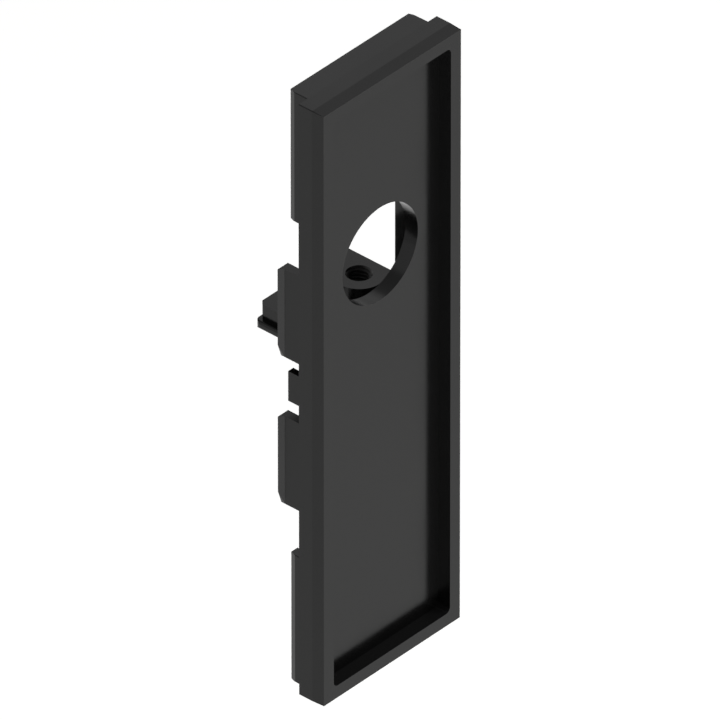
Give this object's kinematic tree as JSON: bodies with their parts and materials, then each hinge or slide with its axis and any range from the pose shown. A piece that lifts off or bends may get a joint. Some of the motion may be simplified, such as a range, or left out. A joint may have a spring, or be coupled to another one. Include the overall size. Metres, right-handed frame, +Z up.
{
  "type": "profile end cap",
  "caption": "Tall snap-in end cap for a hollow profile section, with a shallow tray in its face, a round opening, plug walls, barbed clips and a threaded anchor shelf behind.",
  "frame": {"origin": "middle of the seat, the plane at the back of the cover plate that meets the cut end of the profile", "axes": "+Y into the profile, square to the seat; +Z up along the plate's long side; +X to the right as seen from the front"},
  "size_m": [0.04, 0.02, 0.1396],
  "materials": {
    "moulded_body": "black, fine satin moulding"
  },
  "bodies": {
    "root": {"end_cap": "moulded_body"}
  },
  "joints": []
}
